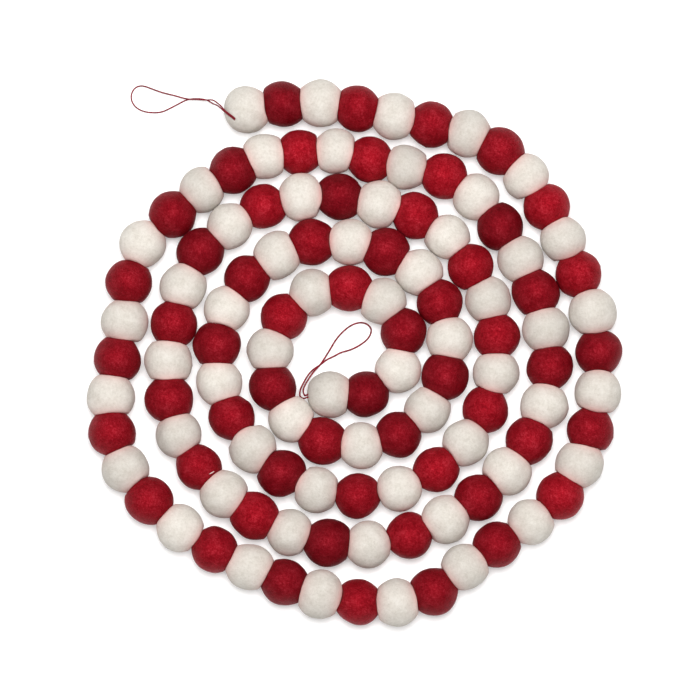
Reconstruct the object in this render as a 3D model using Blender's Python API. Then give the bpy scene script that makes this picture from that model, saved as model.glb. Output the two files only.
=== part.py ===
"""Ball garland: felted wool balls threaded on a string, laid out as a flat spiral.

White and red balls take turns, pushed up against each other so that they press flat where they
meet. The string comes out of the first and the last ball as a long hanging loop.

Metres, +Z up. The garland lies on z = 0 with the origin under the middle of the spiral.
"""

import math
import random

import bmesh
import bpy
import numpy as np
from mathutils import Matrix, Vector

MM = 0.001

BALL_COUNT = 117  # the odd balls are white, the even ones red
BALL_RADIUS = 15.0 * MM
SIZE_SPREAD = 0.45 * MM  # balls rolled by hand differ this much either way
FLAT_SPOT_DEPTH = 0.5 * MM  # how far a ball gives where it rests
GAP = 0.3 * MM  # between pieces that touch
SEGMENTS, RINGS = 10, 6
SIZE_SEED = 29

THREAD_DIAMETER = 0.8 * MM

# The first three balls lie nearly straight and are one piece. All others are joined in twos.
FIRST_GROUP = (1, 2, 3)

WHITE_FELT = ("white_felt", (0.80, 0.76, 0.70), 0.95)
RED_FELT = ("red_felt", (0.38, 0.012, 0.022), 0.95)
RED_THREAD = ("red_thread", (0.26, 0.012, 0.028), 0.70)

# Where the garland passes, from its outer end to its inner one, clockwise seen from above.
# Columns: ball, x in mm, y in mm.
ROUTE = (
    (1, -71, 159),
    (3, -23, 163),
    (6, 50, 149),
    (7, 74, 143),
    (12, 146, 50),
    (13, 155, 25),
    (16, 153, -52),
    (18, 133, -95),
    (21, 71, -141),
    (22, 51, -157),
    (23, 27, -164),
    (27, -68, -141),
    (32, -158, -54),
    (33, -159, -30),
    (35, -150, 19),
    (37, -139, 70),
    (38, -119, 89),
    (41, -59, 128),
    (45, 33, 120),
    (46, 58, 115),
    (48, 95, 81),
    (53, 123, -36),
    (57, 59, -110),
    (58, 35, -121),
    (62, -65, -108),
    (66, -121, -32),
    (68, -118, 17),
    (70, -101, 65),
    (73, -35, 101),
    (79, 87, 33),
    (84, 53, -78),
    (87, -25, -91),
    (89, -66, -64),
    (93, -84, 27),
    (96, -28, 71),
    (103, 47, -39),
    (106, -21, -59),
    (111, -28, 38),
    (114, 32, 12),
    (115, 28, -13),
    (116, 7, -29),
    (117, -16, -29),
)

# The thread at the outer end: out of the ball, over its shoulder, down to the surface, round the
# loop and back. The two strands cross twice between the ball and the loop.
# Columns: x and y from the middle of the first ball, height above the surface, all in mm.
OUTER_LOOP = (
    (-8.1, -7.3, 26.1),
    (-10.6, -5.2, 25.3),
    (-13.2, -2.9, 23.2),
    (-17.1, 2.1, 17.5),
    (-19.6, 4.8, 13.5),
    (-21.6, 6.7, 10.5),
    (-24.1, 7.8, 7.6),
    (-26.2, 8.0, 6.0),
    (-33.0, 8.9, 3.2),
    (-39.2, 9.3, 2.6),
    (-47.0, 11.4, 1.9),
    (-56.0, 13.7, 1.9),
    (-65.2, 17.1, 1.5),
    (-70.0, 18.3, 1.1),
    (-73.6, 17.3, 0.8),
    (-75.9, 14.5, 0.7),
    (-76.7, 10.7, 0.6),
    (-75.5, 6.6, 0.6),
    (-72.6, 3.4, 0.7),
    (-67.9, 1.2, 0.9),
    (-62.0, 0.4, 1.2),
    (-56.5, 0.9, 1.3),
    (-51.9, 2.8, 1.3),
    (-45.7, 6.1, 1.2),
    (-39.2, 9.1, 1.2),
    (-33.0, 9.6, 1.8),
    (-26.4, 8.1, 4.2),
    (-24.5, 6.9, 5.4),
    (-22.6, 5.4, 7.5),
    (-20.1, 3.7, 11.2),
    (-17.7, 1.3, 16.0),
    (-13.6, -3.2, 21.9),
    (-11.0, -5.7, 24.2),
    (-8.5, -7.8, 25.2),
)

# The thread at the inner end, in the same columns from the middle of the last ball. Both strands
# leave the ball on its left side, drop between two balls and cross once before the loop.
INNER_LOOP = (
    (-15.4, -0.7, 18.1),
    (-16.4, -0.9, 16.2),
    (-17.1, 0.1, 14.0),
    (-17.7, 2.1, 11.9),
    (-17.3, 4.9, 9.5),
    (-15.6, 8.7, 7.0),
    (-13.4, 12.5, 5.0),
    (-10.7, 16.4, 3.5),
    (-6.9, 20.7, 2.4),
    (-3.5, 25.8, 1.9),
    (-0.7, 30.3, 1.7),
    (2.4, 35.6, 1.5),
    (5.5, 39.9, 1.3),
    (9.0, 43.5, 1.0),
    (12.4, 46.2, 0.8),
    (16.0, 48.0, 0.7),
    (19.5, 48.7, 0.6),
    (22.5, 48.3, 0.6),
    (25.1, 46.7, 0.6),
    (26.6, 44.1, 0.6),
    (26.3, 41.6, 0.7),
    (24.6, 38.4, 0.8),
    (21.5, 35.5, 1.0),
    (16.8, 32.5, 1.2),
    (11.6, 30.3, 1.4),
    (6.4, 28.7, 1.4),
    (2.0, 26.4, 1.3),
    (-2.3, 24.3, 1.2),
    (-6.9, 20.8, 1.2),
    (-11.1, 17.9, 1.6),
    (-15.4, 12.8, 2.8),
    (-18.0, 7.9, 4.5),
    (-19.6, 4.0, 6.5),
    (-20.0, 1.0, 9.0),
    (-19.7, -0.8, 11.5),
    (-18.4, -2.2, 13.6),
    (-16.7, -2.6, 15.6),
    (-15.3, -2.3, 18.0),
)

OUTER_LOOP_POINTS = 76
INNER_LOOP_POINTS = 70


def clear_scene():
    for existing in list(bpy.data.objects):
        bpy.data.objects.remove(existing, do_unlink=True)


def new_collection(name):
    collection = bpy.data.collections.new(name)
    bpy.context.scene.collection.children.link(collection)
    return collection


def new_material(name, colour, roughness):
    material = bpy.data.materials.new(name)
    material.use_nodes = True
    surface = material.node_tree.nodes["Principled BSDF"]
    surface.inputs["Base Color"].default_value = (*colour, 1.0)
    surface.inputs["Roughness"].default_value = roughness
    surface.inputs["Metallic"].default_value = 0.0
    return material


def natural_spline(at, values, where):
    """The smooth curve through values at the places at, read at each place in where."""
    steps = np.diff(at)
    slopes = np.diff(values) / steps
    system = np.eye(len(at))
    right = np.zeros(len(at))
    for i in range(1, len(at) - 1):
        system[i, i - 1 : i + 2] = steps[i - 1], 2 * (steps[i - 1] + steps[i]), steps[i]
        right[i] = 6 * (slopes[i] - slopes[i - 1])
    bend = np.linalg.solve(system, right)

    span = np.clip(np.searchsorted(at, where, side="right") - 1, 0, len(steps) - 1)
    after = (where - at[span]) / steps[span]
    before = 1 - after
    straight = before * values[span] + after * values[span + 1]
    curved = (before**3 - before) * bend[span] + (after**3 - after) * bend[span + 1]
    return straight + curved * steps[span] ** 2 / 6


def ball_radii():
    """Each ball's radius. The end balls, which carry the loops, have the plain size."""
    chance = random.Random(SIZE_SEED)
    radii = BALL_RADIUS + np.array([chance.uniform(-1, 1) for _ in range(BALL_COUNT)]) * SIZE_SPREAD
    radii[0] = radii[-1] = BALL_RADIUS
    return radii


def push_turns_apart(places, radii, rounds=40, share=0.45):
    """Move balls of neighbouring turns sideways until none of them overlap."""
    number = np.arange(BALL_COUNT)
    apart = radii[:, None] + radii[None, :] + GAP
    apart[abs(number[:, None] - number[None, :]) <= 1] = 0
    for _ in range(rounds):
        offset = places[:, None, :] - places[None, :, :]
        distance = np.hypot(offset[..., 0], offset[..., 1]) + np.eye(BALL_COUNT)
        overlap = np.maximum(apart - distance, 0)
        places = places + share * (offset * (overlap / distance)[..., None]).sum(axis=1)
    return places


def ball_centres(radii):
    """Middle of each ball: along the route, then settled, resting and centred on the origin."""
    number, x, y = np.array(ROUTE, dtype=float).T
    every = np.arange(1, BALL_COUNT + 1)
    bearing = natural_spline(number, np.unwrap(np.arctan2(y, x)), every)
    reach = natural_spline(number, np.hypot(x, y) * MM, every)
    places = np.stack([reach * np.cos(bearing), reach * np.sin(bearing)], axis=1)
    places = push_turns_apart(places, radii)

    low = (places - radii[:, None]).min(axis=0)
    high = (places + radii[:, None]).max(axis=0)
    places -= (low + high) / 2
    return [Vector((x, y, r - FLAT_SPOT_DEPTH)) for (x, y), r in zip(places, radii)]


def press_flat(bm, point, outward):
    """Take off what lies beyond a plane and close the ball there with a flat face."""
    everything = bm.verts[:] + bm.edges[:] + bm.faces[:]
    cut = bmesh.ops.bisect_plane(
        bm, geom=everything, plane_co=point, plane_no=outward, clear_outer=True
    )
    rim = [item for item in cut["geom_cut"] if isinstance(item, bmesh.types.BMEdge)]
    bmesh.ops.edgeloop_fill(bm, edges=rim)


def contact(centres, radii, ball, neighbour):
    """Where two balls press on each other: a point on the string and the way to the neighbour."""
    way = centres[neighbour - 1] - centres[ball - 1]
    distance = way.length
    along = (distance**2 + radii[ball - 1] ** 2 - radii[neighbour - 1] ** 2) / (2 * distance)
    way.normalize()
    return centres[ball - 1] + way * (along - GAP / 2), way


def add_ball(name, ball, group, centres, radii, material, collection):
    """One ball as its own object, flat below and flat against the balls of other groups."""
    centre = centres[ball - 1]
    along = centres[group[-1] - 1] - centres[group[0] - 1]
    along.z = 0
    along.normalize()
    up = Vector((0, 0, 1))
    turn = Matrix((up.cross(along), up, along)).transposed().to_4x4()

    bm = bmesh.new()
    bmesh.ops.create_uvsphere(
        bm, u_segments=SEGMENTS, v_segments=RINGS, radius=radii[ball - 1], matrix=turn
    )
    press_flat(bm, Vector((0, 0, -centre.z)), -up)
    for neighbour in (ball - 1, ball + 1):
        if neighbour not in group and 1 <= neighbour <= BALL_COUNT:
            point, way = contact(centres, radii, ball, neighbour)
            press_flat(bm, point - centre, way)
    bmesh.ops.recalc_face_normals(bm, faces=bm.faces)

    mesh = bpy.data.meshes.new(name)
    bm.to_mesh(mesh)
    bm.free()
    mesh.shade_smooth()
    mesh.set_sharp_from_angle(angle=math.radians(40))
    mesh.materials.append(material)
    ball_object = bpy.data.objects.new(name, mesh)
    ball_object.location = centre
    collection.objects.link(ball_object)
    return ball_object


def add_group(group, centres, radii, felts, parts, joined):
    """Neighbouring balls as one closed body: the first with the others united to it."""
    name = f"balls_{group[0]:03d}_{group[-1]:03d}"
    body = add_ball(name, group[0], group, centres, radii, felts[group[0] % 2], parts)
    for ball in group[1:]:
        other = add_ball(
            f"ball_{ball:03d}", ball, group, centres, radii, felts[ball % 2], joined
        )
        other.hide_render = True
        other.display_type = "WIRE"
        union = body.modifiers.new(f"join_{ball:03d}", "BOOLEAN")
        union.operation = "UNION"
        union.solver = "EXACT"
        union.material_mode = "TRANSFER"
        union.object = other


def add_thread_loop(name, centre, points, count, material, parts):
    """A loop of the string: a thin round tube along a smooth curve through its points."""
    through = np.array(points, dtype=float) * MM
    run = np.concatenate([[0], np.cumsum(np.linalg.norm(np.diff(through, axis=0), axis=1))])
    even = np.linspace(0, run[-1], count)
    smooth = [natural_spline(run, through[:, axis], even) for axis in range(3)]

    curve = bpy.data.curves.new(name, "CURVE")
    curve.dimensions = "3D"
    curve.bevel_depth = THREAD_DIAMETER / 2
    curve.bevel_resolution = 2
    curve.use_fill_caps = True
    spline = curve.splines.new("POLY")
    spline.points.add(count - 1)
    for point, x, y, z in zip(spline.points, *smooth):
        point.co = (x, y, z, 1)
    curve.materials.append(material)
    loop = bpy.data.objects.new(name, curve)
    loop.location = (centre.x, centre.y, 0)
    parts.objects.link(loop)


def build():
    clear_scene()
    parts = new_collection("ball_garland")
    joined = new_collection("joined_balls")
    felts = {1: new_material(*WHITE_FELT), 0: new_material(*RED_FELT)}
    thread = new_material(*RED_THREAD)

    radii = ball_radii()
    centres = ball_centres(radii)
    radii = radii.tolist()
    pairs = [(ball, ball + 1) for ball in range(FIRST_GROUP[-1] + 1, BALL_COUNT, 2)]
    for group in [FIRST_GROUP, *pairs]:
        add_group(group, centres, radii, felts, parts, joined)
    add_thread_loop("loop_outer", centres[0], OUTER_LOOP, OUTER_LOOP_POINTS, thread, parts)
    add_thread_loop("loop_inner", centres[-1], INNER_LOOP, INNER_LOOP_POINTS, thread, parts)


build()
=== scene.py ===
"""Ball garland: the looks of 117 felted wool balls on a red thread, laid out as a flat spiral.

Works in metres in the frame of the CAD model, +Z up, with the garland lying on z = 0.
"""

import math
import random

import bmesh
import bpy
import numpy as np
from mathutils import Euler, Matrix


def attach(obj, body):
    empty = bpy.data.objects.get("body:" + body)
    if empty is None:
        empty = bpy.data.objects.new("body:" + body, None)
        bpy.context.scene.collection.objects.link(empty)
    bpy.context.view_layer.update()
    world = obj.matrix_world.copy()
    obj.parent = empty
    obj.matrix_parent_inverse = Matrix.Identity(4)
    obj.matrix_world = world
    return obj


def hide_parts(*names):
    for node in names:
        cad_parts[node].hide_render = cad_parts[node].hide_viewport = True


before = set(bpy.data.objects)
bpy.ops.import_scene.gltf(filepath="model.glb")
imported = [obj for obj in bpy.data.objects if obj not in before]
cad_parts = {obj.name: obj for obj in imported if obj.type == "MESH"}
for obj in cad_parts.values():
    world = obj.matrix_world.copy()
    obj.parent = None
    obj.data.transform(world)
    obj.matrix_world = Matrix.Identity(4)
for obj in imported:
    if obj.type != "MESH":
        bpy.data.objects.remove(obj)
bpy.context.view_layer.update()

MM = 0.001

# Where the garland lies. The string runs clockwise from its outer end to its inner one, seen from
# above, and the balls are pushed up against each other along it, so each is a little under one
# ball's width from the next.

BALL_COUNT = 117  # the odd balls are white, the even ones red
BALL_RADIUS = 15.0 * MM
SIZE_SPREAD = 0.45 * MM  # balls rolled by hand differ this much either way
SIZE_SEED = 29
FLAT_SPOT_DEPTH = 0.5 * MM  # how far a ball gives where it rests
TURN_GAP = 0.3 * MM  # between balls of neighbouring turns

# The middles of some of the balls. Columns: ball, x in mm, y in mm.
ROUTE = (
    (1, -71, 159),
    (3, -23, 163),
    (6, 50, 149),
    (7, 74, 143),
    (12, 146, 50),
    (13, 155, 25),
    (16, 153, -52),
    (18, 133, -95),
    (21, 71, -141),
    (22, 51, -157),
    (23, 27, -164),
    (27, -68, -141),
    (32, -158, -54),
    (33, -159, -30),
    (35, -150, 19),
    (37, -139, 70),
    (38, -119, 89),
    (41, -59, 128),
    (45, 33, 120),
    (46, 58, 115),
    (48, 95, 81),
    (53, 123, -36),
    (57, 59, -110),
    (58, 35, -121),
    (62, -65, -108),
    (66, -121, -32),
    (68, -118, 17),
    (70, -101, 65),
    (73, -35, 101),
    (79, 87, 33),
    (84, 53, -78),
    (87, -25, -91),
    (89, -66, -64),
    (93, -84, 27),
    (96, -28, 71),
    (103, 47, -39),
    (106, -21, -59),
    (111, -28, 38),
    (114, 32, 12),
    (115, 28, -13),
    (116, 7, -29),
    (117, -16, -29),
)


def natural_spline(at, values, where):
    """The smooth curve through values at the places at, read at each place in where."""
    steps = np.diff(at)
    slopes = np.diff(values) / steps
    system = np.eye(len(at))
    right = np.zeros(len(at))
    for i in range(1, len(at) - 1):
        system[i, i - 1 : i + 2] = steps[i - 1], 2 * (steps[i - 1] + steps[i]), steps[i]
        right[i] = 6 * (slopes[i] - slopes[i - 1])
    bend = np.linalg.solve(system, right)

    span = np.clip(np.searchsorted(at, where, side="right") - 1, 0, len(steps) - 1)
    after = (where - at[span]) / steps[span]
    before = 1 - after
    straight = before * values[span] + after * values[span + 1]
    curved = (before**3 - before) * bend[span] + (after**3 - after) * bend[span + 1]
    return straight + curved * steps[span] ** 2 / 6


def ball_radii():
    """Each ball's radius. The end balls, which carry the loops, have the plain size."""
    chance = random.Random(SIZE_SEED)
    radii = BALL_RADIUS + np.array([chance.uniform(-1, 1) for _ in range(BALL_COUNT)]) * SIZE_SPREAD
    radii[0] = radii[-1] = BALL_RADIUS
    return radii


def push_turns_apart(places, radii, rounds=40, share=0.45):
    """Move balls of neighbouring turns sideways until none of them overlap."""
    number = np.arange(BALL_COUNT)
    apart = radii[:, None] + radii[None, :] + TURN_GAP
    apart[abs(number[:, None] - number[None, :]) <= 1] = 0
    for _ in range(rounds):
        offset = places[:, None, :] - places[None, :, :]
        distance = np.hypot(offset[..., 0], offset[..., 1]) + np.eye(BALL_COUNT)
        overlap = np.maximum(apart - distance, 0)
        places = places + share * (offset * (overlap / distance)[..., None]).sum(axis=1)
    return places


def ball_middles(radii):
    """Middle of each ball: along the route, then settled, resting and centred on the origin."""
    number, x, y = np.array(ROUTE, dtype=float).T
    every = np.arange(1, BALL_COUNT + 1)
    bearing = natural_spline(number, np.unwrap(np.arctan2(y, x)), every)
    reach = natural_spline(number, np.hypot(x, y) * MM, every)
    places = np.stack([reach * np.cos(bearing), reach * np.sin(bearing)], axis=1)
    places = push_turns_apart(places, radii)

    low = (places - radii[:, None]).min(axis=0)
    high = (places + radii[:, None]).max(axis=0)
    places -= (low + high) / 2
    return np.column_stack([places, radii - FLAT_SPOT_DEPTH])


radii = ball_radii()
middles = ball_middles(radii)


# Red thread: one string of three plies twisted together. It runs through every ball and comes out
# of the first and the last one as a doubled hanging loop, whose strands cross on the way.

PLIES = 3
OUTER_PLY_RADIUS = 0.34 * MM
INNER_PLY_RADIUS = 0.42 * MM  # this end has been handled less and is fluffier
PLY_OFFSET = 0.17 * MM  # from the thread's own middle line
TWIST_LENGTH = 2.0 * MM  # one full turn of the plies
PLY_STEP = 0.24 * MM  # between the points along a ply
FIRST_PLY_WAY = (0.3, 0.2, 1.0)  # the first ply starts at right angles to this
# How the strands go on inside the ball. Columns, in mm: along the strand, into the ball.
THREAD_DIVE = ((0.8, 0.5), (1.3, 2.3))
OUTER_DIVE_WAY = (0.1, 0.0, -1.0)  # into the top of the first ball
INNER_DIVE_WAY = (1.0, 0.1, -0.2)  # into the side of the last one

# The outer loop. Columns: x and y from the middle of the first ball, height above the surface, all
# in mm.
OUTER_LOOP = (
    (-8.1, -7.3, 26.1),
    (-10.6, -5.2, 25.3),
    (-13.2, -2.9, 23.2),
    (-17.1, 2.1, 17.5),
    (-19.6, 4.8, 13.5),
    (-21.6, 6.7, 10.5),
    (-24.1, 7.8, 7.6),
    (-26.2, 8.0, 6.0),
    (-33.0, 8.9, 3.2),
    (-39.2, 9.3, 2.6),
    (-47.0, 11.4, 1.9),
    (-56.0, 13.7, 1.9),
    (-65.2, 17.1, 1.5),
    (-70.0, 18.3, 1.1),
    (-73.6, 17.3, 0.8),
    (-75.9, 14.5, 0.7),
    (-76.7, 10.7, 0.6),
    (-75.5, 6.6, 0.6),
    (-72.6, 3.4, 0.7),
    (-67.9, 1.2, 0.9),
    (-62.0, 0.4, 1.2),
    (-56.5, 0.9, 1.3),
    (-51.9, 2.8, 1.3),
    (-45.7, 6.1, 1.2),
    (-39.2, 9.1, 1.2),
    (-33.0, 9.6, 1.8),
    (-26.4, 8.1, 4.2),
    (-24.5, 6.9, 5.4),
    (-22.6, 5.4, 7.5),
    (-20.1, 3.7, 11.2),
    (-17.7, 1.3, 16.0),
    (-13.6, -3.2, 21.9),
    (-11.0, -5.7, 24.2),
    (-8.5, -7.8, 25.2),
)

# The inner loop, in the same columns from the middle of the last ball.
INNER_LOOP = (
    (-15.4, -0.7, 18.1),
    (-16.4, -0.9, 16.2),
    (-17.1, 0.1, 14.0),
    (-17.7, 2.1, 11.9),
    (-17.3, 4.9, 9.5),
    (-15.6, 8.7, 7.0),
    (-13.4, 12.5, 5.0),
    (-10.7, 16.4, 3.5),
    (-6.9, 20.7, 2.4),
    (-3.5, 25.8, 1.9),
    (-0.7, 30.3, 1.7),
    (2.4, 35.6, 1.5),
    (5.5, 39.9, 1.3),
    (9.0, 43.5, 1.0),
    (12.4, 46.2, 0.8),
    (16.0, 48.0, 0.7),
    (19.5, 48.7, 0.6),
    (22.5, 48.3, 0.6),
    (25.1, 46.7, 0.6),
    (26.6, 44.1, 0.6),
    (26.3, 41.6, 0.7),
    (24.6, 38.4, 0.8),
    (21.5, 35.5, 1.0),
    (16.8, 32.5, 1.2),
    (11.6, 30.3, 1.4),
    (6.4, 28.7, 1.4),
    (2.0, 26.4, 1.3),
    (-2.3, 24.3, 1.2),
    (-6.9, 20.8, 1.2),
    (-11.1, 17.9, 1.6),
    (-15.4, 12.8, 2.8),
    (-18.0, 7.9, 4.5),
    (-19.6, 4.0, 6.5),
    (-20.0, 1.0, 9.0),
    (-19.7, -0.8, 11.5),
    (-18.4, -2.2, 13.6),
    (-16.7, -2.6, 15.6),
    (-15.3, -2.3, 18.0),
)


class Shade:
    """A value in a material. Sums, differences and products of it add the nodes that make them."""

    def __init__(self, finish, socket):
        self.finish = finish
        self.socket = socket

    def maths(self, operation, first, second):
        return self.finish.add("ShaderNodeMath", {"operation": operation}, {0: first, 1: second})

    def __add__(self, other):
        return self.maths("ADD", self, other)

    def __radd__(self, other):
        return self.maths("ADD", other, self)

    def __sub__(self, other):
        return self.maths("SUBTRACT", self, other)

    def __rsub__(self, other):
        return self.maths("SUBTRACT", other, self)

    def __mul__(self, other):
        return self.maths("MULTIPLY", self, other)

    def __rmul__(self, other):
        return self.maths("MULTIPLY", other, self)


class Finish:
    """A material. Every node of it comes from add, and set_surface gives the shader its inputs."""

    def __init__(self, name):
        self.material = bpy.data.materials.new(name)
        self.material.use_nodes = True
        self.nodes = self.material.node_tree.nodes
        self.links = self.material.node_tree.links
        self.position = self.add("ShaderNodeTexCoord", output="Object")

    def add(self, kind, settings=None, inputs=None, output=0):
        node = self.nodes.new(kind)
        for name, value in (settings or {}).items():
            setattr(node, name, value)
        self.feed(node, inputs or {})
        shown = [socket for socket in node.outputs if socket.enabled]
        return Shade(self, shown[output] if isinstance(output, int) else node.outputs[output])

    def feed(self, node, inputs):
        for name, value in inputs.items():
            shown = [socket for socket in node.inputs if socket.enabled]
            socket = shown[name] if isinstance(name, int) else node.inputs[name]
            if isinstance(value, Shade):
                self.links.new(value.socket, socket)
            else:
                socket.default_value = value

    def noise(self, size, detail=2.0, roughness=0.5, vector=None):
        """Soft noise from about 0.3 to 0.7, whose lumps are about size across."""
        return self.add(
            "ShaderNodeTexNoise",
            inputs={
                "Vector": vector or self.position,
                "Scale": 1 / size,
                "Detail": detail,
                "Roughness": roughness,
            },
        )

    def blend(self, factor, first, second):
        """From the colour first, where factor is 0, to the colour second, where it is 1."""
        return self.add(
            "ShaderNodeMix",
            {"data_type": "RGBA", "clamp_factor": True},
            {0: factor, 1: (*first, 1.0), 2: (*second, 1.0)},
        )

    def bump(self, height, depth, strength=1.0):
        return self.add(
            "ShaderNodeBump", inputs={"Height": height, "Distance": depth, "Strength": strength}
        )

    def set_surface(self, **inputs):
        """The shader's own inputs, with _ for each space in a name."""
        surface = self.nodes["Principled BSDF"]
        self.feed(surface, {name.replace("_", " "): value for name, value in inputs.items()})


def add_piece(name, mesh, node=None):
    """Put a mesh in the scene as a piece of the garland. A node named is one that it replaces."""
    mesh.name = name
    piece = bpy.data.objects.new(name, mesh)
    bpy.context.scene.collection.objects.link(piece)
    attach(piece, "root")
    if node:
        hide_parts(node)
    return piece


def read_points(mesh):
    """The places of a mesh's vertices, as rows of x, y, z."""
    points = np.empty(len(mesh.vertices) * 3)
    mesh.vertices.foreach_get("co", points)
    return points.reshape(-1, 3)


def run_along(points):
    """How far along a line each of its points lies."""
    steps = np.linalg.norm(np.diff(points, axis=0), axis=1)
    return np.concatenate([[0], np.cumsum(steps)])


def thread_line(rows, ball, dive_way):
    """The thread's middle line out of a ball, round its loop and back, every PLY_STEP."""
    middle = middles[ball - 1]
    through = np.array(rows, dtype=float) * MM + (middle[0], middle[1], 0)
    inwards = np.array(dive_way) / np.linalg.norm(dive_way)
    ends = []
    for end, second in ((through[0], through[1]), (through[-1], through[-2])):
        back = (end - second) / np.linalg.norm(end - second)
        ends.append([end + (back * on + inwards * depth) * MM for on, depth in THREAD_DIVE])
    through = np.concatenate([ends[0][::-1], through, ends[1]])

    run = run_along(through)
    even = np.linspace(0, run[-1], round(run[-1] / PLY_STEP))
    return np.stack([natural_spline(run, through[:, axis], even) for axis in range(3)], axis=1)


def twisted_plies(line):
    """The middle lines of the plies, wound round the thread's own."""
    ahead = np.gradient(line, axis=0)
    ahead /= np.linalg.norm(ahead, axis=1)[:, None]
    side = np.zeros_like(ahead)
    last = np.cross(ahead[0], FIRST_PLY_WAY)
    for i, way in enumerate(ahead):
        last = last - way * (last @ way)
        last /= np.linalg.norm(last)
        side[i] = last
    other_side = np.cross(ahead, side)
    run = run_along(line)
    plies = []
    for ply in range(PLIES):
        turn = math.tau * (run / TWIST_LENGTH + ply / PLIES)[:, None]
        plies.append(line + PLY_OFFSET * (side * np.cos(turn) + other_side * np.sin(turn)))
    return plies


def ply_tubes(name, line, ply_radius):
    """A closed tube for each ply, in one mesh."""
    curve = bpy.data.curves.new(name, "CURVE")
    curve.dimensions = "3D"
    curve.bevel_depth = ply_radius
    curve.bevel_resolution = 1
    curve.use_fill_caps = True
    for ply in twisted_plies(line):
        spline = curve.splines.new("POLY")
        spline.points.add(len(ply) - 1)
        for point, place in zip(spline.points, ply.tolist()):
            point.co = (*place, 1)
    tubes = bpy.data.objects.new(name, curve)
    bpy.context.scene.collection.objects.link(tubes)
    bpy.context.view_layer.update()
    scene_now = bpy.context.evaluated_depsgraph_get()
    mesh = bpy.data.meshes.new_from_object(tubes.evaluated_get(scene_now))
    bpy.data.objects.remove(tubes)
    return mesh


def add_thread(name, node, line, ply_radius, material):
    """One loop of the thread, as a piece."""
    mesh = ply_tubes(name, line, ply_radius)
    mesh.materials.clear()
    mesh.materials.append(material)
    mesh.shade_smooth()
    thread = add_piece(name, mesh, node)


red_thread = Finish("red_thread")
strands = red_thread.noise(0.25 * MM, detail=2.0, roughness=0.6)
patches = red_thread.noise(4 * MM, detail=1.0)
lightness = (strands + patches) * 1.6 - 1.1
red_thread.set_surface(
    Base_Color=red_thread.blend(lightness, (0.13, 0.0022, 0.008), (0.25, 0.0045, 0.018)),
    Roughness=0.62 + strands * 0.2,
    Normal=red_thread.bump(strands, 0.06 * MM),
    Specular_IOR_Level=0.25,
)

outer_line = thread_line(OUTER_LOOP, 1, OUTER_DIVE_WAY)
inner_line = thread_line(INNER_LOOP, BALL_COUNT, INNER_DIVE_WAY)
add_thread("thread_outer", "loop_outer", outer_line, OUTER_PLY_RADIUS, red_thread.material)
add_thread("thread_inner", "loop_inner", inner_line, INNER_PLY_RADIUS, red_thread.material)


# Wool balls: 59 off-white and 58 deep red ones, felted from layers of loose wool rolled by hand in
# hot soapy water, and threaded with a needle. Each has soft dents of its own, and presses flat on
# its neighbours and a little on the surface it lies on.

SEGMENTS = 60  # round the string
# Rings along the string: across each pressed face, over its rim, and along the side between.
CAP_RINGS, RIM_RINGS, SIDE_RINGS = 4, 6, 18
RIM_ARC = 1.3 * MM  # half the stretch over which a pressed face rounds into the side
FREE_RIM = 0.6  # radians from the string, where an end ball has no neighbour
END_BALL_FINENESS = 2  # the two balls with the loops have this many times the rings and segments
BALL_SEED = 7

# Dents and swellings. Columns: height, waves over one radius of the ball, how many cross.
DENTS = ((0.40 * MM, 2.1, 4), (0.15 * MM, 4.6, 5), (0.045 * MM, 11.0, 7))
LOOSE_WOOL = 0.32 * MM  # stands off the felted ball all over
OPEN_DEPTH = 0.05 * MM  # wool pressed in by less than this is open to the air

# The faces on which balls press on each other and on the surface below.
CONTACT_SEED = 41
CONTACT_GAP = 0.03 * MM
CONTACT_SOFTNESS = 0.19 * MM  # rounding of a face's rim
CONTACT_LEAN = 0.035  # how much a face leans, as a slope
# How far a face's rim bows to one side or the other: level, twisted and upright.
CONTACT_BOW = (0.65 * MM, 0.325 * MM, 0.325 * MM)
WHITE_BOW = 0.3 * MM  # the white wool is firmer and bows into the red
CONTACT_WAVES = ((0.07 * MM, 2.2), (0.04 * MM, 5.0))  # height, waves over the face's radius
LEAST_FACE = 2 * MM  # radius of a face, however little the balls press
FACE_REACH = 1.25  # in radii of the face: farther out it stands as it does there
FACE_ROUNDS = 3  # of finding again where a direction meets the face
FACING = 0.1  # a direction that turns less than this to a face never meets it
FAR_OFF = 1.0  # metres, for a face that a direction doesn't meet
SWELL = 0.35 * MM  # the wool that a face pushes aside stands up round it
SWELL_WIDTH = 1.6 * MM
FLOOR_SOFTNESS = 0.12 * MM
TOUCHING = 1.6 * MM  # balls of other turns nearer than this are kept clear of each other

# What differs over a ball: painted red bounce light, a painted highlight on red tops, and the end
# balls' needle holes.
RED_BOUNCE_SHOW = 0.9  # painted red bounce light: how pink white wool is painted where it touches a red ball
RED_BOUNCE_FADE = 3.3 * MM  # over how wide a gap that goes off
RED_BOUNCE_REACH = 45 * MM  # between middles, for a red ball to count
RED_PAINTED_HIGHLIGHT = 0.36  # painted highlight: how much lighter red wool is painted on top, where the light from above falls
PAINTED_HIGHLIGHT_FALL = 11.0  # how fast that goes off downwards
HOLE_DEPTH = 0.35 * MM
HOLE_RADIUS = 0.8 * MM


def soft_least(first, second, softness):
    """The lesser of two lengths, rounded over where they cross."""
    return -softness * np.logaddexp(-first / softness, -second / softness)


def any_way(chance):
    """A direction in space, all being as likely."""
    way = np.array([chance.gauss(0, 1) for _ in range(3)])
    return way / np.linalg.norm(way)


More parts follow.
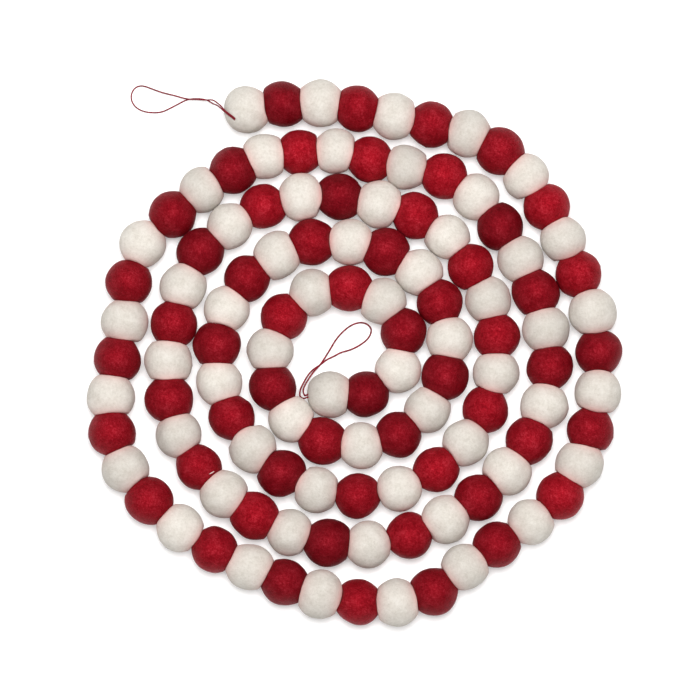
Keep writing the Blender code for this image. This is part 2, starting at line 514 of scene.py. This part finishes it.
class Contact:
    """The face on which two balls press, the same for both: flat but for a lean, bow and waves."""

    def __init__(self, first, second, chance):
        self.first, self.second = first, second
        apart = middles[second - 1] - middles[first - 1]
        distance = np.linalg.norm(apart)
        own, other = radii[first - 1], radii[second - 1]
        self.way = apart / distance
        self.depth = (distance**2 + own**2 - other**2) / (2 * distance)
        self.far_depth = distance - self.depth
        self.rim = math.sqrt(max(own**2 - self.depth**2, LEAST_FACE**2))
        self.side = np.array((-self.way[1], self.way[0], 0))
        self.uneven = second == first + 1
        if self.uneven:
            self.lean = [chance.gauss(0, CONTACT_LEAN) for _ in range(2)]
            self.bow = [chance.gauss(0, spread) for spread in CONTACT_BOW]
            self.bow[0] -= WHITE_BOW if first % 2 else -WHITE_BOW
            self.waves = [
                (height, waves * any_way(chance), chance.uniform(0, math.tau))
                for height, waves in CONTACT_WAVES
            ]

    def rise(self, across):
        """How far the face stands towards the second ball, at places off the line of middles."""
        level = across @ self.side / self.rim
        upright = across[:, 2] / self.rim
        height = self.rim * (self.lean[0] * level + self.lean[1] * upright)
        height += self.bow[0] * (level**2 - 0.5)
        height += self.bow[1] * level * upright
        height += self.bow[2] * (upright**2 - 0.5)
        for wave, way, start in self.waves:
            height += wave * np.sin(across @ way / self.rim * math.pi + start)
        return height

    def reach(self, ball, directions):
        """How far the face is from a ball's middle, in each direction."""
        forwards = 1 if ball == self.first else -1
        depth = self.depth if ball == self.first else self.far_depth
        facing = directions @ self.way * forwards
        ahead = facing > FACING
        facing = np.where(ahead, facing, 1.0)
        reach = (depth - CONTACT_GAP / 2) / facing
        if self.uneven:
            for _ in range(FACE_ROUNDS):
                place = directions * reach[:, None]
                across = place - np.outer(place @ self.way, self.way)
                off_middle = np.maximum(np.linalg.norm(across, axis=1), LEAST_FACE)
                within = np.minimum(1, FACE_REACH * self.rim / off_middle)
                rise = forwards * self.rise(across * within[:, None])
                reach = (depth + rise - CONTACT_GAP / 2) / facing
        return np.where(ahead, reach, FAR_OFF)


def all_contacts():
    """Every pair of balls that press on each other or nearly touch."""
    chance = random.Random(CONTACT_SEED)
    contacts = []
    for first in range(1, BALL_COUNT + 1):
        for second in range(first + 1, BALL_COUNT + 1):
            apart = math.dist(middles[first - 1], middles[second - 1])
            if second == first + 1 or apart < radii[first - 1] + radii[second - 1] + TOUCHING:
                contacts.append(Contact(first, second, chance))
    return contacts


contacts = all_contacts()


def plain_ball(fineness):
    """A round ball of radius 1 with its poles on the string, as a mesh and its points."""
    rings = (2 * (CAP_RINGS + RIM_RINGS) + SIDE_RINGS) * fineness
    bm = bmesh.new()
    bmesh.ops.create_uvsphere(bm, u_segments=SEGMENTS * fineness, v_segments=rings, radius=1.0)
    bmesh.ops.recalc_face_normals(bm, faces=bm.faces)
    mesh = bpy.data.meshes.new("plain_ball")
    bm.to_mesh(mesh)
    bm.free()
    mesh.shade_smooth()
    return mesh, read_points(mesh)


def heading(first, second):
    """The way from one ball to another, as an angle seen from above."""
    apart = middles[second - 1] - middles[first - 1]
    return math.atan2(apart[1], apart[0])


def ball_directions(ball, places):
    """A plain ball's points as directions, its rings bent to lie along both pressed faces."""
    before, after = max(ball - 1, 1), min(ball + 1, BALL_COUNT)
    ahead = heading(ball, after) if after > ball else heading(before, ball)
    behind = heading(before, ball) if before < ball else ahead
    behind = ahead + math.remainder(behind - ahead, math.tau)

    def rim_angle(neighbour):
        near = [c for c in contacts if {c.first, c.second} == {ball, neighbour}]
        return math.asin(min(near[0].rim / radii[ball - 1], 1)) if near else FREE_RIM

    rim_ahead, rim_behind = rim_angle(ball + 1), rim_angle(ball - 1)
    rim_width = RIM_ARC / radii[ball - 1]
    rings = np.cumsum([0, CAP_RINGS, RIM_RINGS, SIDE_RINGS, RIM_RINGS, CAP_RINGS])
    angles = [
        0,
        rim_ahead - rim_width,
        rim_ahead + rim_width,
        math.pi - rim_behind - rim_width,
        math.pi - rim_behind + rim_width,
        math.pi,
    ]
    from_pole = np.arccos(np.clip(places[:, 2], -1, 1))
    from_pole = np.interp(from_pole / math.pi * rings[-1], rings, angles)
    bend = np.interp(from_pole, angles[2:4], [ahead, behind])
    round_string = np.arctan2(places[:, 1], places[:, 0])

    sideways = np.sin(from_pole) * np.cos(round_string)
    upwards = np.sin(from_pole) * np.sin(round_string)
    along = np.cos(from_pole)
    x = along * np.cos(bend) - sideways * np.sin(bend)
    y = along * np.sin(bend) + sideways * np.cos(bend)
    return np.stack([x, y, upwards], axis=1)


def ball_reach(ball, directions, chance):
    """The ball's own rolled shape: how far its surface is from its middle in each direction."""
    reach = np.full(len(directions), radii[ball - 1] + LOOSE_WOOL)
    for height, waves, count in DENTS:
        for _ in range(count):
            crossing = waves * (directions @ any_way(chance)) * math.pi / 2
            reach += height / math.sqrt(count) * np.sin(crossing + chance.uniform(0, math.tau))
    return reach


def pressed_reach(ball, directions, reach):
    """That reach, cut back where the ball presses on others and on the surface below."""
    off_face = np.full(len(directions), FAR_OFF)
    faces = []
    for contact in contacts:
        if ball in (contact.first, contact.second):
            faces.append(contact.reach(ball, directions))
            if contact.uneven:
                off = (faces[-1] - reach) * abs(directions @ contact.way)
                off_face = np.minimum(off_face, np.maximum(off, 0))
    reach = reach + SWELL * np.exp(-off_face / SWELL_WIDTH)
    for face in faces:
        reach = soft_least(reach, face, CONTACT_SOFTNESS)
    down = -directions[:, 2]
    height = middles[ball - 1][2]
    floor = np.where(down > FACING, height / np.maximum(down, FACING), FAR_OFF)
    return soft_least(reach, floor, FLOOR_SOFTNESS)


def painted_red_bounce(ball, surface):
    """Painted red bounce light: how pink each point of a white ball is painted, from the red balls
    near it.
    """
    painted_bounce = np.zeros(len(surface))
    if ball % 2 == 0:
        return painted_bounce
    for other in range(2, BALL_COUNT, 2):
        if math.dist(middles[ball - 1], middles[other - 1]) < RED_BOUNCE_REACH:
            gap = np.linalg.norm(surface - middles[other - 1], axis=1) - radii[other - 1]
            painted_bounce = np.maximum(painted_bounce, RED_BOUNCE_SHOW * np.exp(-np.maximum(gap, 0) / RED_BOUNCE_FADE))
    return painted_bounce


def needle_hole(ball, directions, reach, line):
    """The reach with a small pit round both places where the thread dives into an end ball."""
    place = directions * reach[:, None]
    for end in (line[0], line[-1]):
        inside = end - middles[ball - 1]
        hole = inside / np.linalg.norm(inside) * radii[ball - 1]
        off = np.linalg.norm(place - hole, axis=1)
        reach = reach - HOLE_DEPTH * np.exp(-((off / HOLE_RADIUS) ** 2))
    return reach


def add_ball(ball, plain, places, chance, node):
    """One felted ball. Its material reads its own tone, with a painted highlight on the red ones,
    and its painted red bounce light.
    """
    white = ball % 2 == 1
    directions = ball_directions(ball, places)
    rolled = ball_reach(ball, directions, chance)
    reach = pressed_reach(ball, directions, rolled)
    ends = {1: outer_line, BALL_COUNT: inner_line}
    if ball in ends:
        reach = needle_hole(ball, directions, reach, ends[ball])
    surface = middles[ball - 1] + directions * reach[:, None]

    mesh = plain.copy()
    mesh.vertices.foreach_set("co", surface.ravel())
    mesh.update()
    tones_and_highlight = np.full(len(places), chance.random())
    # painted highlight: red wool is made lighter on top, where the light from above falls
    if not white:
        tones_and_highlight += RED_PAINTED_HIGHLIGHT * np.exp(PAINTED_HIGHLIGHT_FALL * (directions[:, 2] - 1))
    tone_and_highlight = mesh.attributes.new("tone_and_highlight", "FLOAT", "POINT")
    tone_and_highlight.data.foreach_set("value", tones_and_highlight.astype(np.float32))
    # painted red bounce light from the red balls near it
    bounce_amount = mesh.attributes.new("painted_bounce", "FLOAT", "POINT")
    bounce_amount.data.foreach_set("value", painted_red_bounce(ball, surface).astype(np.float32))
    mesh.materials.append(white_felt if white else red_felt)
    piece = add_piece(f"ball_{ball:03d}", mesh, node)
    open_to_air = reach > rolled - OPEN_DEPTH
    return piece, open_to_air


# The felt's pattern: blotches, a finer mottle, and a mat of curly fibres in layers.
BLOTCH_SIZE = 7.0 * MM
BLOTCH_SHOW = 0.9
MOTTLE_SIZE = 1.7 * MM
MOTTLE_SHOW = 0.8
MAT_WAYS = ((0.4, 0.9, 0.1), (1.7, 0.2, 1.1), (0.9, 1.6, 2.3))  # how each layer is turned
MAT_WIDTH = 0.5 * MM  # of a fibre
MAT_STRETCH = 10.0  # its length in widths
MAT_CURL = 2.0 * MM  # how far it wanders
CURL_SIZE = 3.5 * MM  # over what length
SINGLE_WIDTH = 0.03  # of the few fibres that show singly, in the noise's own measure
SINGLE_MEAN = 0.25  # how much of the wool they cover
SINGLE_SHOW = 0.48
RELIEF_DEPTH = 0.3 * MM
RELIEF_STRENGTH = 0.8


def felt(name, deep, middle, light, painted_bounce, tone_and_highlight_show, mat_show, roughness, **surface):
    """Felted wool: soft blotches and a mat of curly fibres that lie every way, with painted red
    bounce light and a painted highlight read from the mesh.
    """
    wool = Finish(name)
    # each ball's own tone, and on the red balls a painted highlight on top
    tone_and_highlight = wool.add("ShaderNodeAttribute", {"attribute_name": "tone_and_highlight"}, output="Fac")
    # painted red bounce light, as read from the mesh
    bounce_amount = wool.add("ShaderNodeAttribute", {"attribute_name": "painted_bounce"}, output="Fac")
    blotches = wool.noise(BLOTCH_SIZE, detail=2.0)
    mottle = wool.noise(MOTTLE_SIZE, detail=2.0)
    curl = wool.add(
        "ShaderNodeTexNoise",
        inputs={"Vector": wool.position, "Scale": 1 / CURL_SIZE},
        output="Color",
    )
    curled = wool.add(
        "ShaderNodeVectorMath",
        {"operation": "MULTIPLY_ADD"},
        {0: curl, 1: (MAT_CURL,) * 3, 2: wool.position},
    )
    mat, single = 0, 0
    for turn in MAT_WAYS:
        along = wool.add(
            "ShaderNodeMapping",
            {"vector_type": "TEXTURE"},
            {"Vector": curled, "Rotation": Euler(turn), "Scale": (1.0, 1.0, MAT_STRETCH)},
        )
        layer = wool.noise(MAT_WIDTH, detail=1.5, roughness=0.6, vector=along)
        edge = wool.add("ShaderNodeMath", {"operation": "ABSOLUTE"}, {0: layer - 0.5})
        line = wool.add(
            "ShaderNodeMapRange",
            {"interpolation_type": "SMOOTHSTEP"},
            {"Value": edge, "From Max": SINGLE_WIDTH, "To Min": 1.0, "To Max": 0.0},
        )
        mat, single = layer + mat, line + single
    mat = mat * (1 / len(MAT_WAYS)) - 0.5
    single = single * (1 / len(MAT_WAYS)) - SINGLE_MEAN

    shade = 0.5 + (blotches - 0.5) * BLOTCH_SHOW + (mottle - 0.5) * MOTTLE_SHOW
    shade = shade + mat * mat_show + single * SINGLE_SHOW
    colour = wool.blend(shade * 2.0, deep, middle)
    lighter = wool.add(
        "ShaderNodeMix",
        {"data_type": "RGBA", "clamp_factor": True},
        {0: shade * 2.0 - 1.0, 1: colour, 2: (*light, 1.0)},
    )
    # painted red bounce light: white wool mixed towards pink near the red balls
    bounce_tinted = wool.add(
        "ShaderNodeMix",
        {"data_type": "RGBA", "clamp_factor": True},
        {0: bounce_amount, 1: lighter, 2: (*painted_bounce, 1.0)},
    )
    # lighter or darker by the ball's tone, which on the red balls holds a painted highlight on top
    toned = wool.add(
        "ShaderNodeVectorMath",
        {"operation": "SCALE"},
        {0: bounce_tinted, 1: 1 + (tone_and_highlight - 0.5) * tone_and_highlight_show},
    )
    relief = mat * 1.2 + single * 0.5 + mottle * 0.4
    wool.set_surface(
        Base_Color=toned,
        Normal=wool.bump(relief, RELIEF_DEPTH, RELIEF_STRENGTH),
        Roughness=mottle * 0.1 + roughness,
        **surface,
    )
    return wool.material


white_felt = felt(
    "white_felt",
    deep=(0.500, 0.463, 0.407),
    middle=(0.607, 0.572, 0.517),
    light=(0.69, 0.66, 0.61),
    # colour of the painted red bounce light from the red balls
    painted_bounce=(0.80, 0.47, 0.43),
    tone_and_highlight_show=0.18,
    mat_show=1.5,
    roughness=0.88,
    Sheen_Weight=0.04,
    Specular_IOR_Level=0.06,
)
red_felt = felt(
    "red_felt",
    deep=(0.125, 0.0008, 0.0025),
    middle=(0.213, 0.0038, 0.0080),
    light=(0.32, 0.0190, 0.0290),
    painted_bounce=(0.213, 0.0038, 0.0080),
    tone_and_highlight_show=0.7,
    mat_show=2.9,
    roughness=0.5,
    Metallic=0.18,
    Specular_IOR_Level=0.22,
    Specular_Tint=(1.0, 0.16, 0.30, 1.0),
)

ball_nodes = {}
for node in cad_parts:
    if node.startswith("balls_"):
        lowest, highest = (int(part) for part in node.split("_")[1:])
        for ball in range(lowest, highest + 1):
            ball_nodes[ball] = node

ball_chance = random.Random(BALL_SEED)
plain, plain_places = plain_ball(1)
fine, fine_places = plain_ball(END_BALL_FINENESS)
balls = {}
for ball in range(1, BALL_COUNT + 1):
    shape = (fine, fine_places) if ball in (1, BALL_COUNT) else (plain, plain_places)
    balls[ball] = add_ball(ball, *shape, ball_chance, ball_nodes[ball])
bpy.data.meshes.remove(plain)
bpy.data.meshes.remove(fine)


# Loose fibres: the ends of wool that the felting left standing off the balls. They lie close to the
# surface, rooted in it, and give the balls their soft edge.

FIBRES_A_BALL = 120
FIBRE_SEED = 83
FIBRE_LENGTH = (1.8 * MM, 5.0 * MM)
FIBRE_LIFT = (0.05 * MM, 0.75 * MM)  # how far its free end stands off the wool
FIBRE_RADIUS = (0.028 * MM, 0.055 * MM)
FIBRE_STEPS = 4  # rings of 3 points along each
ROOT_DEPTH = 0.12 * MM
FIBRE_CURVE = 0.35  # how much of its length a fibre curves sideways, at most
FIBRE_TAPER = 0.6  # how much thinner its free end is
ROOT_HEIGHT = 1.5 * MM  # none is rooted nearer to the surface that the garland lies on
FIBRE_FLOOR = 0.2 * MM  # none comes nearer to it anywhere


def fibre_shapes(roots, outwards, chance):
    """Points of three-sided tapered fibres, as an array of fibre, step, side and x, y, z."""
    count = len(roots)

    def spread(low, high):
        return np.array([chance.uniform(low, high) for _ in range(count)])[:, None]

    anyhow = np.array([[chance.gauss(0, 1) for _ in range(3)] for _ in range(count)])
    ahead = anyhow - outwards * (anyhow * outwards).sum(axis=1)[:, None]
    ahead /= np.linalg.norm(ahead, axis=1)[:, None]
    side = np.cross(outwards, ahead)
    length = spread(*FIBRE_LENGTH)
    lift = spread(0, 1) ** 2 * (FIBRE_LIFT[1] - FIBRE_LIFT[0]) + FIBRE_LIFT[0]
    curl = spread(-FIBRE_CURVE, FIBRE_CURVE)
    thick = spread(*FIBRE_RADIUS)
    rings = []
    for step in np.linspace(0, 1, FIBRE_STEPS):
        run = length * step
        height = lift * step - ROOT_DEPTH * (1 - step) ** 2 - run**2 / (2 * BALL_RADIUS)
        place = roots + ahead * run + outwards * height + side * curl * run * step
        radius = thick * (1 - FIBRE_TAPER * step)
        corners = []
        for corner in range(3):
            turn = math.tau * corner / 3
            corners.append(place + radius * (side * math.cos(turn) + outwards * math.sin(turn)))
        rings.append(np.stack(corners, axis=1))
    return np.stack(rings, axis=1)


def fibre_faces(count):
    """Faces of that many fibres, as corner numbers."""
    one = [(0, 1, 2), tuple(3 * FIBRE_STEPS - 3 + corner for corner in (2, 1, 0))]
    for ring in range(FIBRE_STEPS - 1):
        for corner in range(3):
            low, high = 3 * ring + corner, 3 * ring + (corner + 1) % 3
            one.append((low, low + 3, high + 3, high))
    return [
        tuple(3 * FIBRE_STEPS * fibre + corner for corner in face)
        for fibre in range(count)
        for face in one
    ]


def add_fibres(name, shapes, materials):
    """Every loose fibre of one colour in one mesh, its tones taking turns."""
    points = np.concatenate(shapes).reshape(-1, 3)
    count = len(points) // (3 * FIBRE_STEPS)
    mesh = bpy.data.meshes.new(name)
    faces = fibre_faces(count)
    mesh.from_pydata(points.tolist(), [], faces)
    faces_each = len(faces) // count
    for material in materials:
        mesh.materials.append(material)
    tones_and_highlight = np.repeat(np.arange(count) % len(materials), faces_each).astype(np.int32)
    mesh.polygons.foreach_set("material_index", tones_and_highlight)
    mesh.shade_smooth()
    add_piece(name, mesh)


def loose_wool(name, colour):
    """Wool too thin to show any pattern."""
    wool = Finish(name)
    wool.set_surface(Base_Color=(*colour, 1.0), Roughness=0.9, Specular_IOR_Level=0.06)
    return wool.material


fibre_chance = random.Random(FIBRE_SEED)
fibres_of = {"white": [], "red": []}
for ball, (piece, open_to_air) in balls.items():
    places = read_points(piece.data)
    outwards = np.empty(places.size)
    piece.data.vertex_normals.foreach_get("vector", outwards)
    outwards = outwards.reshape(-1, 3)
    from_middle = places - middles[ball - 1]
    from_middle /= np.linalg.norm(from_middle, axis=1)[:, None]
    ways = np.array([any_way(fibre_chance) for _ in range(FIBRES_A_BALL)])
    nearest = (ways @ from_middle.T).argmax(axis=1)
    nearest = nearest[open_to_air[nearest] & (places[nearest, 2] > ROOT_HEIGHT)]
    colour = "white" if ball % 2 else "red"
    shapes = fibre_shapes(places[nearest], outwards[nearest], fibre_chance)
    clear = shapes[..., 2].min(axis=(1, 2)) > FIBRE_FLOOR
    fibres_of[colour].append(shapes[clear])

white_fibres = [
    loose_wool("white_fibre_bright", (0.70, 0.67, 0.62)),
    loose_wool("white_fibre_plain", (0.60, 0.56, 0.50)),
    loose_wool("white_fibre_grey", (0.47, 0.43, 0.385)),
]
red_fibres = [
    loose_wool("red_fibre_bright", (0.40, 0.020, 0.040)),
    loose_wool("red_fibre_plain", (0.25, 0.004, 0.012)),
    loose_wool("red_fibre_dark", (0.14, 0.0015, 0.005)),
]
add_fibres("fibres_white", fibres_of["white"], white_fibres)
add_fibres("fibres_red", fibres_of["red"], red_fibres)


# A wisp of white wool caught on one of the red balls, where a white one presses on it.

WISP_BALL = 64
WISP_MIDDLE = (9.4, -4.6, 11.3)  # in mm from the middle of the ball
WISP_WAY = (0.86, 0.50, -0.42)
WISP_SIZE = (2.1 * MM, 0.34 * MM, 0.26 * MM)  # half its length, width and thickness

wisp_wool = loose_wool("wisp_wool", (0.66, 0.51, 0.48))


def add_wisp():
    """A flattened lump that lies along the ball and curves with it."""
    bm = bmesh.new()
    bmesh.ops.create_uvsphere(bm, u_segments=16, v_segments=10, radius=1.0)
    mesh = bpy.data.meshes.new("wisp")
    bm.to_mesh(mesh)
    bm.free()
    mesh.shade_smooth()
    middle = np.array(WISP_MIDDLE) * MM
    up = middle / np.linalg.norm(middle)
    along = np.array(WISP_WAY) - up * (np.array(WISP_WAY) @ up)
    along /= np.linalg.norm(along)
    axes = np.stack([along, np.cross(up, along), up])
    places = read_points(mesh)
    sag = WISP_SIZE[0] ** 2 / (2 * BALL_RADIUS) * places[:, :1] ** 2
    lying = (places * WISP_SIZE) @ axes - sag * up + middle + middles[WISP_BALL - 1]
    mesh.vertices.foreach_set("co", lying.ravel())
    mesh.update()
    mesh.materials.append(wisp_wool)
    add_piece("wisp", mesh)


add_wisp()


# Plain white surface that the garland lies on, lit so brightly that it turns pure white, as paper
# in a light tent does.

FLOOR_SIZE = 6.0


def add_floor():
    bm = bmesh.new()
    bmesh.ops.create_grid(bm, x_segments=1, y_segments=1, size=FLOOR_SIZE / 2)
    mesh = bpy.data.meshes.new("floor")
    bm.to_mesh(mesh)
    bm.free()
    paper = Finish("white_paper")
    paper.set_surface(
        Base_Color=(0.80, 0.80, 0.80, 1.0),
        Roughness=0.9,
        Specular_IOR_Level=0.2,
        Emission_Color=(1.0, 1.0, 1.0, 1.0),
        Emission_Strength=0.25,
    )
    mesh.materials.append(paper.material)
    floor = bpy.data.objects.new("floor", mesh)
    bpy.context.scene.collection.objects.link(floor)


add_floor()


# Light: one big soft light overhead, a little towards the far side, in a bright white room.

KEY_HEIGHT = 2.0
KEY_SIZE = 1.0
KEY_LEAN = math.radians(5)
KEY_POWER = 52.0
ROOM_LIGHT = 0.32

key = bpy.data.lights.new("soft_box", "AREA")
key.shape = "SQUARE"
key.size = KEY_SIZE
key.energy = KEY_POWER
soft_box = bpy.data.objects.new("soft_box", key)
soft_box.location = (0, KEY_HEIGHT * math.sin(KEY_LEAN), KEY_HEIGHT * math.cos(KEY_LEAN))
soft_box.rotation_euler = (-KEY_LEAN, 0, 0)
bpy.context.scene.collection.objects.link(soft_box)

room = bpy.data.worlds.new("white_room")
room.use_nodes = True
room.node_tree.nodes["Background"].inputs["Color"].default_value = (1.0, 1.0, 1.0, 1.0)
room.node_tree.nodes["Background"].inputs["Strength"].default_value = ROOM_LIGHT
bpy.context.scene.world = room
bpy.context.scene.view_settings.view_transform = "Standard"
bpy.context.scene.view_settings.look = "None"


# Camera: nearly straight above, leaning a little towards the near side.

CAMERA_DISTANCE = 2.4
CAMERA_LEAN = math.radians(6.5)
AIM = (-3.05 * MM, 0.6 * MM, 14.5 * MM)  # what lies in the middle of the picture
PICTURE_WIDTH = 456.0 * MM  # of what is seen at the aim
SENSOR = 36.0

lens = bpy.data.cameras.new("camera")
lens.sensor_width = SENSOR
lens.lens = SENSOR * CAMERA_DISTANCE / PICTURE_WIDTH
camera = bpy.data.objects.new("camera", lens)
camera.location = (
    AIM[0],
    AIM[1] - CAMERA_DISTANCE * math.sin(CAMERA_LEAN),
    AIM[2] + CAMERA_DISTANCE * math.cos(CAMERA_LEAN),
)
camera.rotation_euler = (CAMERA_LEAN, 0, 0)
bpy.context.scene.collection.objects.link(camera)
bpy.context.scene.camera = camera

bpy.context.view_layer.update()
